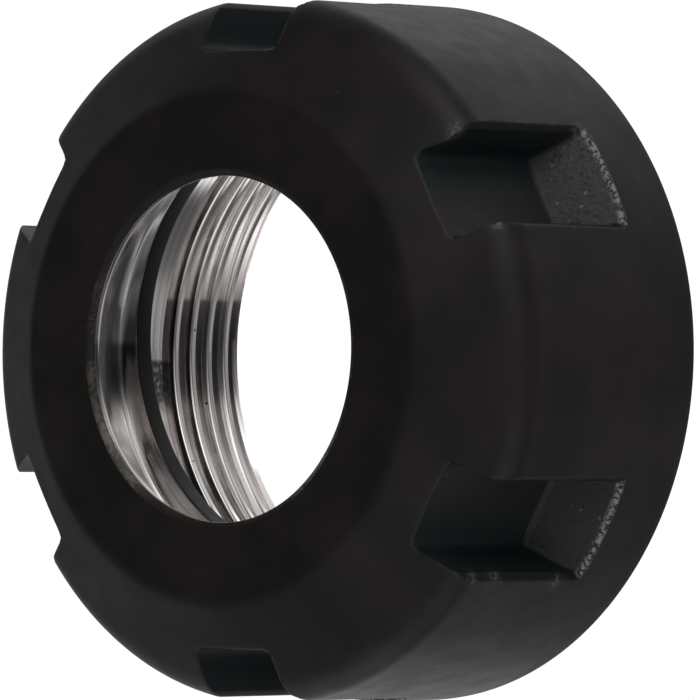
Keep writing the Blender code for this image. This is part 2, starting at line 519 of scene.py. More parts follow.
# %% Rings and arcs
def ring_grid(radius, height, offset):
    """Rings round the axis: x = r cos(angle), y = r sin(angle) + offset, z = height."""
    return np.stack(
        [
            radius[:, None] * np.cos(ring_angles)[None, :],
            radius[:, None] * np.sin(ring_angles)[None, :] + offset[:, None],
            np.repeat(height[:, None], column_count, axis=1),
        ],
        axis=-1,
    )


def quarter(centre_radius, centre_height, radius, start, end, steps):
    """Points of an arc in the profile, from one angle to another in degrees."""
    angle = np.radians(np.linspace(start, end, steps + 1))
    return np.stack(
        [centre_radius + radius * np.cos(angle), centre_height + radius * np.sin(angle)], -1
    )


def lip_share(height):
    """0 at the end of the cone, 1 from the front of the lip rearwards."""
    return np.clip((cone_end_height - height) / (cone_end_height - lip_front), 0.0, 1.0)


proud_inside = 14.0 * MM


def profile_grid(profile):
    """Rings of a profile, each with its share of the lip's offset."""
    proud = profile[:, 0] < proud_inside
    share = np.where(proud, lip_share(profile[:, 1]), 0.0)
    return ring_grid(profile[:, 0], profile[:, 1], lip_offset * share)


recess_middle = (cone_end_height + lip_front) / 2
print("share of the offset in the middle of the recess:", float(lip_share(recess_middle)))

# %% The mouth and the seat
polish_edge = 20.0  # degrees of the mouth's round that are bright
mouth_middle = (mouth_radius + mouth_round, nut_height - mouth_round)
mouth_profile = quarter(*mouth_middle, mouth_round, 90, 180 - polish_edge, 6)
polished_edge = quarter(*mouth_middle, mouth_round, 180 - polish_edge, 180, 3)
cone_radii = stretch((mouth_radius, 10), (cone_end_radius - 0.03 * MM, 0))
cone_line = np.stack(
    [cone_radii, cone_start_height - (cone_radii - mouth_radius) / math.tan(cone_angle)], -1
)
# The fine relief behind the seat, as radius and height in millimetres.
relief = np.array(
    [
        [13.12, 14.42], [13.165, 14.33], [13.195, 14.25], [13.212, 14.17], [13.217, 14.09],
        [13.214, 14.00], [13.203, 13.88], [13.186, 13.74], [13.160, 13.58], [13.132, 13.40],
        [13.106, 13.22], [13.085, 13.06],
    ]
) * MM
recess_end = np.array([[lip_radius + 0.012 * MM, lip_front + 0.02 * MM]])
seat_profile = np.concatenate([polished_edge, cone_line, relief, recess_end])
mouth_points = profile_grid(mouth_profile)
seat_points = profile_grid(seat_profile)
print("rings of the mouth and the seat:", len(mouth_profile), len(seat_profile))

# %% The lip
lip_top = np.array([[lip_radius, lip_front - 0.03 * MM], [lip_radius, lip_front - 0.10 * MM]])
lip_low = quarter(
    lip_radius + lip_edge_round, lip_rear + lip_edge_round, lip_edge_round, 180, 270, 3
)
corner_radius = minor_radius - bore_corner_round
corner_height = lip_rear - bore_corner_round
lip_back = np.array([[13.9 * MM, lip_rear], [corner_radius, lip_rear]])
lip_corner = quarter(corner_radius, corner_height, bore_corner_round, 90, 0, 4)[1:]
lip_profile = np.concatenate([recess_end, lip_top, lip_low, lip_back, lip_corner])
lip_points = profile_grid(lip_profile)
print("rings of the lip:", len(lip_profile))

# %% [markdown]
# ## The thread
#
# An M32 thread of 1.5 mm pitch, right hand. A screw modifier could sweep its profile, but the
# ends would stick out. Here the rows of the grid climb with the helix, so the crests stay
# crisp, and rows that would pass either end are held there. Near its front end the tool draws
# back, so the groove gets shallower over a quarter of a turn until the plain land is left.

# %% The thread's groove
pitch = 1.5 * MM
major_radius = 16.0 * MM
groove_depth = major_radius - minor_radius
crest_half = pitch / 8
crest_phase = 0.26 * MM


def thread_depth(phase):
    """Groove depth over one pitch: flat crest, straight 60 degree flanks, flat root."""
    from_crest = np.abs((phase + pitch / 2) % pitch - pitch / 2)
    depth = (from_crest - crest_half) / math.tan(math.radians(30.0))
    return np.clip(depth, 0.0, groove_depth)


print("groove depth:", float(thread_depth(pitch / 2)), "m")

# %% The thread's surface
thread_top = 9.4 * MM
groove_end = math.radians(325.0)
fade_angle = math.radians(95.0)
phase_steps = np.array([
    0.0, 0.10, 0.165, 0.205, 0.25, 0.36, 0.50, 0.62, 0.67, 0.75, 0.83, 0.88, 1.0, 1.14, 1.25,
    1.295, 1.335, 1.40,
]) * MM
turn_rows = len(phase_steps)
turn_total = 9
last_groove = 4


def thread_surface():
    """Helical rows: height = start + pitch * angle / turn, radius = minor radius + depth."""
    starts = (phase_steps[None, :] + pitch * np.arange(-1, turn_total)[:, None]).ravel()
    starts = starts - pitch + crest_phase - pitch * (ring_angles[0] / (2 * math.pi))
    climb = pitch * ring_angles / (2 * math.pi)
    raw = starts[:, None] + climb[None, :]
    height = np.clip(raw, 0.0, thread_top)
    phase = height - climb[None, :] - crest_phase
    groove = np.round((phase - pitch / 2) / pitch)
    wound = (groove - last_groove) * 2 * math.pi + ring_angles[None, :]
    retract = np.clip((wound - groove_end + fade_angle) / fade_angle, 0.0, 1.0)
    depth = thread_depth(phase) - retract * groove_depth
    countersink = np.maximum(countersink_radius - height, minor_radius)
    radius = np.maximum(minor_radius + np.maximum(depth, 0.0), countersink)
    points = np.stack([radius * np.cos(ring_angles), radius * np.sin(ring_angles), height], -1)
    return points, raw


thread_points, thread_raw = thread_surface()
print("thread rows:", thread_points.shape[0])

# %% The plain land
land_profile = np.array([
    [minor_radius, corner_height], [minor_radius, 10.4 * MM], [minor_radius, thread_top],
])
land_points = profile_grid(land_profile)
print("land: from height", float(land_profile[0, 1]), "to", thread_top, "m")

# %% [markdown]
# ## One closed mesh
#
# The grids end on the same rings, so they can be joined into one skin that holds water. Each
# grid gives its quads, its material and its marks. Neighbouring rings are then welded, and
# the open edges are counted: there should be none.


# %% Faces of a ring grid
def ring_faces(grid, first):
    """Quads between neighbouring rows, closed round the axis."""
    rows, columns = grid.shape[:2]
    row, column = np.meshgrid(np.arange(rows - 1), np.arange(columns), indexing="ij")
    after = (column + 1) % columns
    quads = np.stack(
        [row * columns + column, (row + 1) * columns + column,
         (row + 1) * columns + after, row * columns + after],
        axis=-1,
    )
    return quads.reshape(-1, 4) + first


def helix_faces(grid, first):
    """Quads of the thread: past the last column a row goes on one turn further up."""
    rows, columns = grid.shape[:2]
    row, column = np.meshgrid(
        np.arange(rows - 1 - turn_rows), np.arange(columns), indexing="ij"
    )
    wrap = column == columns - 1
    after = np.where(wrap, 0, column + 1)
    lift = np.where(wrap, turn_rows, 0)
    quads = np.stack(
        [row * columns + column, (row + 1) * columns + column,
         (row + 1 + lift) * columns + after, (row + lift) * columns + after],
        axis=-1,
    ).reshape(-1, 4)
    heights = thread_raw.ravel()[quads]
    keep = (heights.min(1) < thread_top) & (heights.max(1) > 0)
    return quads[keep] + first


print("quads of the land:", len(ring_faces(land_points, 0)))


# %% From grids to a mesh
def mesh_from(name, parts):
    """One mesh from grids: parts are (points, faces, material, turned over, marks).

    A mark is an array over the grid or one number for all of it, and is zero elsewhere.
    """
    points = np.concatenate([part[0].reshape(-1, 3) for part in parts])
    faces = []
    slots = []
    marks = {}
    first = 0
    for grid, maker, slot, turned_over, grid_marks in parts:
        quads = maker(grid, first)
        faces.append(quads if turned_over else quads[:, ::-1])
        slots.append(np.full(len(quads), slot))
        count = grid.shape[0] * grid.shape[1]
        for mark, values in grid_marks.items():
            whole = marks.setdefault(mark, np.zeros(len(points), np.float32))
            whole[first : first + count] = np.broadcast_to(values, grid.shape[:2]).ravel()
        first += count
    faces = np.concatenate(faces)
    slots = np.concatenate(slots)
    mesh = bpy.data.meshes.new(name)
    mesh.from_pydata(points.tolist(), [], faces.tolist())
    mesh.polygons.foreach_set("material_index", slots.astype(np.int32))
    for mark, values in marks.items():
        mesh.attributes.new(mark, "FLOAT", "POINT").data.foreach_set("value", values)
    return mesh


print("each mark becomes a point attribute of the mesh")

# %% The nut's mesh
BLACK, SEAT, THREAD = 0, 1, 2
mouth_mark = np.ones((len(mouth_points), 1))
mouth_mark[0] = 0
nut_mesh = mesh_from(
    "collet_nut",
    [
        (skin_points, ring_faces, BLACK, False, skin_marks),
        (mouth_points, ring_faces, BLACK, False, {"bared": mouth_mark}),
        (seat_points, ring_faces, SEAT, False, {}),
        (lip_points, ring_faces, BLACK, False, {"bevel": 1.0}),
        (land_points, ring_faces, THREAD, False, {}),
        (thread_points, helix_faces, THREAD, True, {}),
    ],
)
print("faces before welding:", len(nut_mesh.polygons))

# %% Weld the grids
weld_distance = 0.0008 * MM
shortest_edge = 0.0005 * MM
sharp_angle = math.radians(35.0)
work = bmesh.new()
work.from_mesh(nut_mesh)
bmesh.ops.remove_doubles(work, verts=work.verts, dist=weld_distance)
bmesh.ops.dissolve_degenerate(work, dist=shortest_edge, edges=work.edges)
open_edges = [edge for edge in work.edges if len(edge.link_faces) != 2]
volume = work.calc_volume(signed=True)
work.to_mesh(nut_mesh)
work.free()
nut_mesh.shade_smooth()
nut_mesh.set_sharp_from_angle(angle=sharp_angle)
print("faces:", len(nut_mesh.polygons), "open edges:", len(open_edges), "volume:", volume)

# %% The nut as an object
nut = bpy.data.objects.new("collet_nut", nut_mesh)
bpy.context.scene.collection.objects.link(nut)

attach(nut, "root")
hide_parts("nut_body")
print("piece:", nut.name)

# %% [markdown]
# ## Helpers for materials
#
# A material is a tree of nodes. Each node takes values or colours and gives new ones, and by
# hand one drags a wire between them. In code, a helper that adds a node and links or sets its
# inputs in one call keeps the recipe short enough to read.


# %% Nodes and sums
def set_or_link(tree, socket, value):
    """Link a socket to another one, or give it a constant."""
    if isinstance(value, bpy.types.NodeSocket):
        tree.links.new(value, socket)
    else:
        socket.default_value = value


def add(tree, kind, settings=None, **inputs):
    """A node with its settings and its inputs. i0, i1 and i2 are inputs by their number."""
    node = tree.nodes.new(kind)
    for name, value in (settings or {}).items():
        setattr(node, name, value)
    for name, value in inputs.items():
        by_number = name[1:].isdigit()
        key = int(name[1:]) if by_number else name.replace("_", " ")
        set_or_link(tree, node.inputs[key], value)
    return node


def calc(tree, operation, first, second=0.0, third=0.0):
    """The result of one Math node."""
    settings = {"operation": operation}
    return add(tree, "ShaderNodeMath", settings, i0=first, i1=second, i2=third).outputs[0]


def product(tree, first, *others):
    """All values multiplied."""
    for other in others:
        first = calc(tree, "MULTIPLY", first, other)
    return first


def total(tree, first, *others):
    """All values added."""
    for other in others:
        first = calc(tree, "ADD", first, other)
    return first


print("helpers for nodes and sums ready")


# %% Ranges and mixtures
def spread(tree, value, low, high, bottom=0.0, top=1.0):
    """Map Range with smooth ends: value from low..high to bottom..top."""
    node = add(
        tree, "ShaderNodeMapRange", {"interpolation_type": "SMOOTHSTEP"},
        Value=value, From_Min=low, From_Max=high, To_Min=bottom, To_Max=top,
    )
    return node.outputs[0]


def window(tree, value, low, high, soft):
    """1 between low and high, with soft borders, 0 outside."""
    rise = spread(tree, value, low - soft, low + soft)
    return product(tree, rise, spread(tree, value, high - soft, high + soft, 1.0, 0.0))


def mix_value(tree, share, first, second):
    """first where the share is 0, second where it is 1."""
    step = calc(tree, "SUBTRACT", second, first)
    return calc(tree, "MULTIPLY_ADD", share, step, first)


def mix_color(tree, share, first, second):
    """first colour where the share is 0, second where it is 1; colours are (r, g, b)."""
    node = tree.nodes.new("ShaderNodeMix")
    node.data_type = "RGBA"
    colors = [(*color, 1) if isinstance(color, tuple) else color for color in (first, second)]
    set_or_link(tree, node.inputs[0], share)
    set_or_link(tree, node.inputs[6], colors[0])
    set_or_link(tree, node.inputs[7], colors[1])
    return node.outputs[2]


print("helpers for ranges and mixtures ready")


# %% Node groups and materials
VALUE, VECTOR = "NodeSocketFloat", "NodeSocketVector"


def new_group(name, inputs, outputs):
    """An empty node group with its named sockets: inputs are (name, kind, default)."""
    group = bpy.data.node_groups.new(name, "ShaderNodeTree")
    for label, kind, default in inputs:
        socket = group.interface.new_socket(label, in_out="INPUT", socket_type=kind)
        if default is not None:
            socket.default_value = default
    for label, kind in outputs:
        group.interface.new_socket(label, in_out="OUTPUT", socket_type=kind)
    return group, group.nodes.new("NodeGroupInput"), group.nodes.new("NodeGroupOutput")


def use_group(tree, group, **inputs):
    """A group placed in a tree, with its inputs linked or set."""
    return add(tree, "ShaderNodeGroup", {"node_tree": group}, **inputs)


def new_material(name):
    """A material with its tree, its Principled shader and its Object coordinates."""
    material = bpy.data.materials.new(name)
    material.use_nodes = True
    tree = material.node_tree
    shader = tree.nodes["Principled BSDF"]
    place = tree.nodes.new("ShaderNodeTexCoord").outputs["Object"]
    return material, tree, shader, place


def mark(tree, name):
    """A mark of the mesh, read as a number."""
    return add(tree, "ShaderNodeAttribute", {"attribute_name": name}).outputs["Fac"]


print("helpers for groups and materials ready")

# %% [markdown]
# ## Effects that several finishes share
#
# The same effects are wanted in all the finishes: soft blotches, fine grain, specks and the
# rings that a turning tool leaves. Each is a small node group with named inputs and outputs,
# made once and then placed in each material with its own sizes. The groups read Object
# coordinates, so nothing slides when the camera moves.

# %% Blotches and grain
blotches, taken, given = new_group(
    "blotches_and_grain",
    [("Place", VECTOR, None), ("Blotch Size", VALUE, 0.004), ("Grain Size", VALUE, 0.0002)],
    [("Blotch", VALUE), ("Grain", VALUE)],
)
for output, size, detail, coarse in (
    ("Blotch", "Blotch Size", 3.0, 0.55),
    ("Grain", "Grain Size", 2.0, 0.6),
):
    scale = calc(blotches, "DIVIDE", 1.0, taken.outputs[size])
    noise = add(
        blotches, "ShaderNodeTexNoise", None, Vector=taken.outputs["Place"], Scale=scale,
        Detail=detail, Roughness=coarse,
    )
    blotches.links.new(noise.outputs[0], given.inputs[output])
print("group:", blotches.name)

# %% Specks
specks, taken, given = new_group(
    "specks",
    [
        ("Place", VECTOR, None), ("Spacing", VALUE, 0.001), ("Size", VALUE, 0.1),
        ("Kept", VALUE, 0.3),
    ],
    [("Speck", VALUE)],
)
speck_scale = calc(specks, "DIVIDE", 1.0, taken.outputs["Spacing"])
cells = add(
    specks, "ShaderNodeTexVoronoi", None, Vector=taken.outputs["Place"], Scale=speck_scale,
    Randomness=1.0,
)
near = calc(specks, "LESS_THAN", cells.outputs["Distance"], taken.outputs["Size"])
chance = add(specks, "ShaderNodeSeparateColor", None, Color=cells.outputs["Color"])
few = calc(specks, "LESS_THAN", chance.outputs[0], taken.outputs["Kept"])
specks.links.new(product(specks, near, few), given.inputs["Speck"])
print("group:", specks.name)

# %% [markdown]
# ## Rings of the turning tool
#
# A turning tool leaves fine rings. One noise is read by radius and height, which are the same
# all round, and only a little by the angle, so its spots are drawn out into rings. An image
# of brushed metal would do from one side, but it would show seams in the bore.

# %% Turned rings
turned_rings, taken, given = new_group(
    "turned_rings",
    [("Place", VECTOR, None), ("Ring Width", VALUE, 0.00015), ("Waver", VALUE, 0.15)],
    [("Ring", VALUE)],
)
sides = add(turned_rings, "ShaderNodeSeparateXYZ", None, Vector=taken.outputs["Place"])
squares = [product(turned_rings, sides.outputs[axis], sides.outputs[axis]) for axis in (0, 1)]
ring_radius = calc(turned_rings, "SQRT", total(turned_rings, *squares))
around = calc(turned_rings, "ARCTAN2", sides.outputs[1], sides.outputs[0])
ring_scale = calc(turned_rings, "DIVIDE", 1.0, taken.outputs["Ring Width"])
ring_place = add(
    turned_rings, "ShaderNodeCombineXYZ", None,
    X=product(turned_rings, ring_radius, ring_scale),
    Y=product(turned_rings, sides.outputs[2], ring_scale),
    Z=product(turned_rings, around, taken.outputs["Waver"]),
)
ring_noise = add(
    turned_rings, "ShaderNodeTexNoise", None, Vector=ring_place.outputs[0], Scale=1.0,
    Detail=2.0, Roughness=0.7,
)
turned_rings.links.new(ring_noise.outputs[0], given.inputs["Ring"])
print("group:", turned_rings.name)

# %% [markdown]
# ## Black oxide
#
# Black oxide is a thin dark layer on the steel, matt and a little brown in the light. It is a
# dielectric look rather than a metal one, so the shader stays non-metallic with a low specular
# level. Its colour is built up in coats, each laid over the last by a share: first the tone of
# the plain oxide, with faint clouds, then a cooler, darker tone painted as shade in the slots.

# %% Plain oxide
black_oxide, tree, shader, place = new_material("black_oxide")
shader.inputs["Specular IOR Level"].default_value = 0.15
soft = use_group(tree, blotches, Place=place, Blotch_Size=0.0045, Grain_Size=0.00012)
cloud = use_group(tree, blotches, Place=place, Blotch_Size=0.0016, Grain_Size=0.0005)
oxide_dark, oxide_light = (0.0070, 0.0061, 0.0056), (0.0108, 0.0092, 0.0084)
oxide_cloud = (0.0165, 0.0138, 0.0128)
painted_slot_shade_tone = (0.0062, 0.0095, 0.0102)
bevel_shade = (0.0026, 0.0029, 0.0026)
oxide = mix_color(tree, spread(tree, soft.outputs["Blotch"], 0.38, 0.62), oxide_dark, oxide_light)
smudge = product(tree, cloud.outputs["Blotch"], soft.outputs["Blotch"])
smudge = spread(tree, smudge, 0.24, 0.44, 0.0, 0.24)
oxide = mix_color(tree, smudge, oxide, oxide_cloud)
# Painted shade inside the slots, in a cooler, darker tone.
oxide = mix_color(tree, mark(tree, "painted_slot_shade"), oxide, painted_slot_shade_tone)
oxide = mix_color(tree, mark(tree, "bevel"), oxide, bevel_shade)
print("coats of plain oxide laid in", black_oxide.name)

# %% [markdown]
# ## The rubbed mouth, with a painted highlight
#
# Collets go in and out through the mouth, so its round has lost some of its oxide in small
# blotches across one side. A little below the middle that side is painted lighter, bare
# blotches and oxide alike, as a highlight. It could be painted on an image, but two noises
# and a window on the place need no seam and no file.

# %% Mouth
mottle = use_group(tree, blotches, Place=place, Blotch_Size=0.0016, Grain_Size=0.0004)
forged = use_group(tree, blotches, Place=place, Blotch_Size=0.00075, Grain_Size=0.00026)
from_axis = add(tree, "ShaderNodeSeparateXYZ", None, Vector=place).outputs[1]
# Painted highlight: a window a little below the middle lightens the mouth.
painted_lit_side = window(tree, from_axis, -0.0082, -0.0042, 0.0012)
mouth_blotch = product(tree, mottle.outputs["Blotch"], forged.outputs["Grain"])
mouth_blotch = spread(tree, mouth_blotch, 0.20, 0.36)
mouth_blotch = product(tree, mouth_blotch, window(tree, from_axis, -0.0092, 0.0040, 0.0012))
worn_dark, worn_painted_lit = (0.045, 0.041, 0.036), (0.105, 0.097, 0.088)
left_dark, oxide_painted_lit = (0.0105, 0.0096, 0.0085), (0.050, 0.046, 0.042)
# The lit side is a painted highlight, for the bare blotches and the oxide between them.
worn_tone = mix_color(tree, painted_lit_side, worn_dark, worn_painted_lit)
oxide_tone = mix_color(tree, painted_lit_side, left_dark, oxide_painted_lit)
mouth_tone = mix_color(tree, mouth_blotch, oxide_tone, worn_tone)
oxide = mix_color(tree, mark(tree, "bared"), oxide, mouth_tone)
print("coats of the mouth laid in", black_oxide.name)

# %% [markdown]
# ## The rough back walls
#
# The back walls of the slots aren't machined. They are greyer than the rest, with a pebbled
# skin and small dark pits; below the x axis less of that grey is laid, as painted shade.
# Pebbles this small would cost millions of faces as geometry, so they are colour here and bump
# below. The pits come from cells, kept only in some patches.

# %% Back walls
back_wall = mark(tree, "back_wall")
pebbles = spread(tree, forged.outputs["Grain"], 0.34, 0.66)
wall_dark, wall_light = (0.029, 0.0278, 0.0265), (0.038, 0.037, 0.0355)
pit_black = (0.004, 0.004, 0.004)
rough_wall = mix_color(tree, pebbles, wall_dark, wall_light)
pits = use_group(tree, specks, Place=place, Spacing=0.00042, Size=0.34, Kept=0.42)
patches = spread(tree, mottle.outputs["Blotch"], 0.44, 0.56)
chipped = spread(tree, forged.outputs["Grain"], 0.42, 0.50)
pitted = product(tree, pits.outputs["Speck"], patches, chipped, 0.7)
rough_wall = mix_color(tree, pitted, rough_wall, pit_black)
oxide = mix_color(tree, back_wall, oxide, rough_wall)
print("coats of the back walls laid in", black_oxide.name)

# %% [markdown]
# ## Wear down to the steel, and painted glint specks
#
# Where a spanner rubs, the oxide is gone in spots and grey steel shows: in a band along the
# outer edge of each back wall, faintly along the rims, at the knocks, and as single specks.
# The back walls also get painted glint specks, small highlights in the same grey. Each kind
# is a share of its own, and the strongest one counts, so that two kinds on one spot don't
# add up to more than bare steel.

# %% Worn spots
dust = use_group(tree, specks, Place=place, Spacing=0.0016, Size=0.038, Kept=0.20)
painted_glints = use_group(tree, specks, Place=place, Spacing=0.00040, Size=0.26, Kept=0.22)
band_spots = spread(tree, forged.outputs["Grain"], 0.44, 0.56)
rim_spots = spread(tree, forged.outputs["Blotch"], 0.50, 0.72, 0.0, 0.32)
bruise_spots = spread(tree, forged.outputs["Grain"], 0.44, 0.62, 0.05, 0.32)
bare_metal = (0.19, 0.185, 0.18)
wear_and_glints = product(tree, mark(tree, "worn_band"), band_spots, 0.9)
for wear in (
    product(tree, mark(tree, "rim"), rim_spots),
    product(tree, dust.outputs["Speck"], 0.45),
    # Painted highlights: glint specks on the back walls, in patches.
    product(tree, painted_glints.outputs["Speck"], back_wall, 0.55, patches, chipped),
    product(tree, mark(tree, "knocked"), bruise_spots),
):
    wear_and_glints = calc(tree, "MAXIMUM", wear_and_glints, wear)
oxide = mix_color(tree, wear_and_glints, oxide, bare_metal)
tree.links.new(oxide, shader.inputs["Base Color"])
print("kinds of wear: 5")

# %% [markdown]
# ## Gloss and relief of the oxide
#
# The oxide is matt, a little more so in its clouds and on the back walls, and less so where
# it is rubbed or has painted glint specks. Its relief is very fine: grain, the rings of the
# tool and, on the back walls only, pebbles. That is too small for geometry, so a Bump node
# bends the normals.

# %% Roughness and bump
roughness = spread(tree, cloud.outputs["Blotch"], 0.35, 0.65, 0.50, 0.45)
roughness = total(tree, roughness, product(tree, back_wall, 0.10))
roughness = calc(tree, "SUBTRACT", roughness, product(tree, wear_and_glints, 0.15))
tree.links.new(roughness, shader.inputs["Roughness"])

rings = use_group(tree, turned_rings, Place=place, Ring_Width=0.00011, Waver=0.6)
wall_height = total(tree, forged.outputs["Grain"], product(tree, forged.outputs["Blotch"], 1.5))
height = total(
    tree,
    product(tree, soft.outputs["Grain"], 0.06),
    product(tree, rings.outputs["Ring"], 0.03),
    product(tree, wall_height, back_wall),
)
bump = add(tree, "ShaderNodeBump", None, Height=height, Strength=1.0, Distance=0.00009)
tree.links.new(bump.outputs["Normal"], shader.inputs["Normal"])
nut_mesh.materials.append(black_oxide)
print("material:", black_oxide.name)

# %% [markdown]
# ## Painted shade in the bore
#
# The steel of the bore is painted darker in a band across one side: painted shade, standing
# for the dark reflections there. The band has one soft and one sharper border, and it reaches
# only to a certain depth. The group compares a place's y with the band's two borders.

# %% Painted shade band
painted_shade_band, taken, given = new_group(
    "painted_shade_band",
    [
        ("Place", VECTOR, None), ("From", VALUE, 0.0), ("To", VALUE, 0.0),
        ("Border", VALUE, 0.0002), ("Depth", VALUE, 0.0),
    ],
    [("Painted Shade", VALUE)],
)
sides = add(painted_shade_band, "ShaderNodeSeparateXYZ", None, Vector=taken.outputs["Place"])
crosswise, upwards = sides.outputs[0], sides.outputs[1]
above = calc(painted_shade_band, "SUBTRACT", upwards, taken.outputs["From"])
below = calc(painted_shade_band, "SUBTRACT", taken.outputs["To"], upwards)
squares = [product(painted_shade_band, side, side) for side in (crosswise, upwards)]
from_middle = calc(painted_shade_band, "SQRT", total(painted_shade_band, *squares))
sunk = calc(painted_shade_band, "SUBTRACT", from_middle, taken.outputs["Depth"])
painted_band = product(
    painted_shade_band,
    spread(painted_shade_band, calc(painted_shade_band, "DIVIDE", above, taken.outputs["Border"]), -2.5, 2.5),
    spread(painted_shade_band, calc(painted_shade_band, "DIVIDE", below, taken.outputs["Border"]), -0.5, 0.5),
    spread(painted_shade_band, sunk, 0.0, 0.00012),
    calc(painted_shade_band, "LESS_THAN", crosswise, 0.0),
)
painted_shade_band.links.new(painted_band, given.inputs["Painted Shade"])
print("group:", painted_shade_band.name)

# %% [markdown]
# ## Bare steel
#
# The seat is turned fine and left bright, and the thread is cut after the oxide. Both are bare
# steel, so the shader is metallic, and what they show is mostly their surroundings. Fine rings
# from the tool stretch the reflections, and nicks break them. The two differ in their painted
# shade, so the recipe takes a function that lays it.


# %% Bare steel material
groove_shade = 0.62
nick_tone = (0.030, 0.028, 0.026)
# Tone of the painted shade in the bore, and of one darker ring on the seat.
dark_steel_tone = (0.030, 0.028, 0.026)


def bare_steel(name, color, rough, ring_width, ring_bump, nick, painted_shade):
    """Metallic steel with turned rings in its colour and height, nicks and painted shade."""
    material, tree, shader, place = new_material(name)
    rings = use_group(tree, turned_rings, Place=place, Ring_Width=ring_width, Waver=0.3)
    wide = use_group(tree, turned_rings, Place=place, Ring_Width=3.5 * ring_width, Waver=0.6)
    soft = use_group(tree, blotches, Place=place, Blotch_Size=0.0022, Grain_Size=0.0003)
    nicks = use_group(tree, specks, Place=place, Spacing=0.0017, Size=nick, Kept=0.22)
    groove_tone = tuple(groove_shade * channel for channel in color)
    tint = mix_color(tree, spread(tree, rings.outputs["Ring"], 0.25, 0.55), groove_tone, color)
    broad = spread(tree, wide.outputs["Ring"], 0.30, 0.48, 0.35, 0.0)
    tint = mix_color(tree, broad, tint, groove_tone)
    tint = mix_color(tree, nicks.outputs["Speck"], tint, nick_tone)
    tint = painted_shade(tree, place, soft.outputs["Grain"], tint)
    tree.links.new(tint, shader.inputs["Base Color"])
    metal = calc(tree, "SUBTRACT", 1.0, product(tree, nicks.outputs["Speck"], 0.8))
    tree.links.new(metal, shader.inputs["Metallic"])
    gloss = spread(tree, soft.outputs["Blotch"], 0.3, 0.7, rough - 0.02, rough + 0.04)
    tree.links.new(gloss, shader.inputs["Roughness"])
    height = total(tree, rings.outputs["Ring"], product(tree, wide.outputs["Ring"], 1.2))
    bump = add(tree, "ShaderNodeBump", None, Height=height, Strength=1.0, Distance=ring_bump)
    tree.links.new(bump.outputs["Normal"], shader.inputs["Normal"])
    return material


print("recipe for bare steel ready")


# %% [markdown]
# ## The seat
#
# Painted shade dims most of the visible seat and the relief behind it. Only a narrow ring at
# the seat's end is left out of it, so its reflection shines. A darker painted band lies over
# the middle, and one darker ring runs round near the mouth.


# %% Seat material
def seat_painted_shade(tree, place, grain, tint):
    """Darker painted band, dimmer painted shade with its unshaded ring, and one darker ring."""
    height_above = add(tree, "ShaderNodeSeparateXYZ", None, Vector=place).outputs[2]
    # Painted shade: a darker band over the middle of the seat.
    thick = use_group(
        tree, painted_shade_band, Place=place, From=-0.0029, To=0.0004, Border=0.0006, Depth=0.005
    )
    dark_band_share = spread(tree, height_above, 0.0139, 0.0147, 0.82, 0.60)
    tint = mix_color(tree, product(tree, thick.outputs["Painted Shade"], dark_band_share), tint, dark_steel_tone)
    # Painted shade over most of the seat, left off one ring so its reflection shines.
    thin = use_group(
        tree, painted_shade_band, Place=place, From=-0.0035, To=0.0100, Border=0.0006, Depth=0.005
    )
    unshaded_ring = window(tree, height_above, 0.01432, 0.01458, 0.00005)
    painted_dim = calc(tree, "SUBTRACT", 1.0, unshaded_ring)
    dim_band_share = product(tree, thin.outputs["Painted Shade"], painted_dim, 0.68)
    tint = mix_color(tree, dim_band_share, tint, dark_steel_tone)
    darker_ring = window(tree, height_above, 0.01538, 0.01572, 0.00006)
    return mix_color(tree, product(tree, darker_ring, 0.45), tint, dark_steel_tone)


nut_mesh.materials.append(bare_steel(
    "bright_seat", (0.82, 0.79, 0.78), rough=0.10, ring_width=0.00040, ring_bump=0.000005,
    nick=0.035, painted_shade=seat_painted_shade,
))
print("material: bright_seat")


# %% [markdown]
# ## The thread's finish
#
# Painted shade lies across the flanks of the thread, deeper in than the crests, which are
# left out of it. On the land beside the lip a darker area is painted too, as shade.


# %% Thread material
# Tone of the painted shade on the land.
land_painted_shade_tone = (0.045, 0.042, 0.038)


def thread_painted_shade(tree, place, grain, tint):
    """Painted shade on the flanks, and a darker painted area on the land."""
    height_above = add(tree, "ShaderNodeSeparateXYZ", None, Vector=place).outputs[2]
    # Painted shade across the flanks.
    thick = use_group(
        tree, painted_shade_band, Place=place, From=-0.0028, To=0.0031, Border=0.0003, Depth=0.0152
    )
    tint = mix_color(tree, product(tree, thick.outputs["Painted Shade"], 0.5), tint, dark_steel_tone)
    # Painted shade: a darker area on the land, across one side.
    land_band = use_group(
        tree, painted_shade_band, Place=place, From=-0.0035, To=-0.0006, Border=0.0003, Depth=0.01
    )
    on_land = spread(tree, height_above, 0.0079, 0.0080)
    left_over = spread(tree, grain, 0.34, 0.52, 0.5, 0.9)
    left_over = product(tree, land_band.outputs["Painted Shade"], on_land, left_over)
    return mix_color(tree, left_over, tint, land_painted_shade_tone)


nut_mesh.materials.append(bare_steel(
    "cut_thread", (0.84, 0.81, 0.80), rough=0.12, ring_width=0.00034, ring_bump=0.000006,
    nick=0.05, painted_shade=thread_painted_shade,
))
print("material: cut_thread")

# %% [markdown]
# ## Floor
#
# The photograph has a plain white ground, without a shadow. A white world would give that
# too, but then the steel would reflect it. The floor is white paper that shines evenly and is
# left out of the reflections, so it stays white and the nut stays dark.

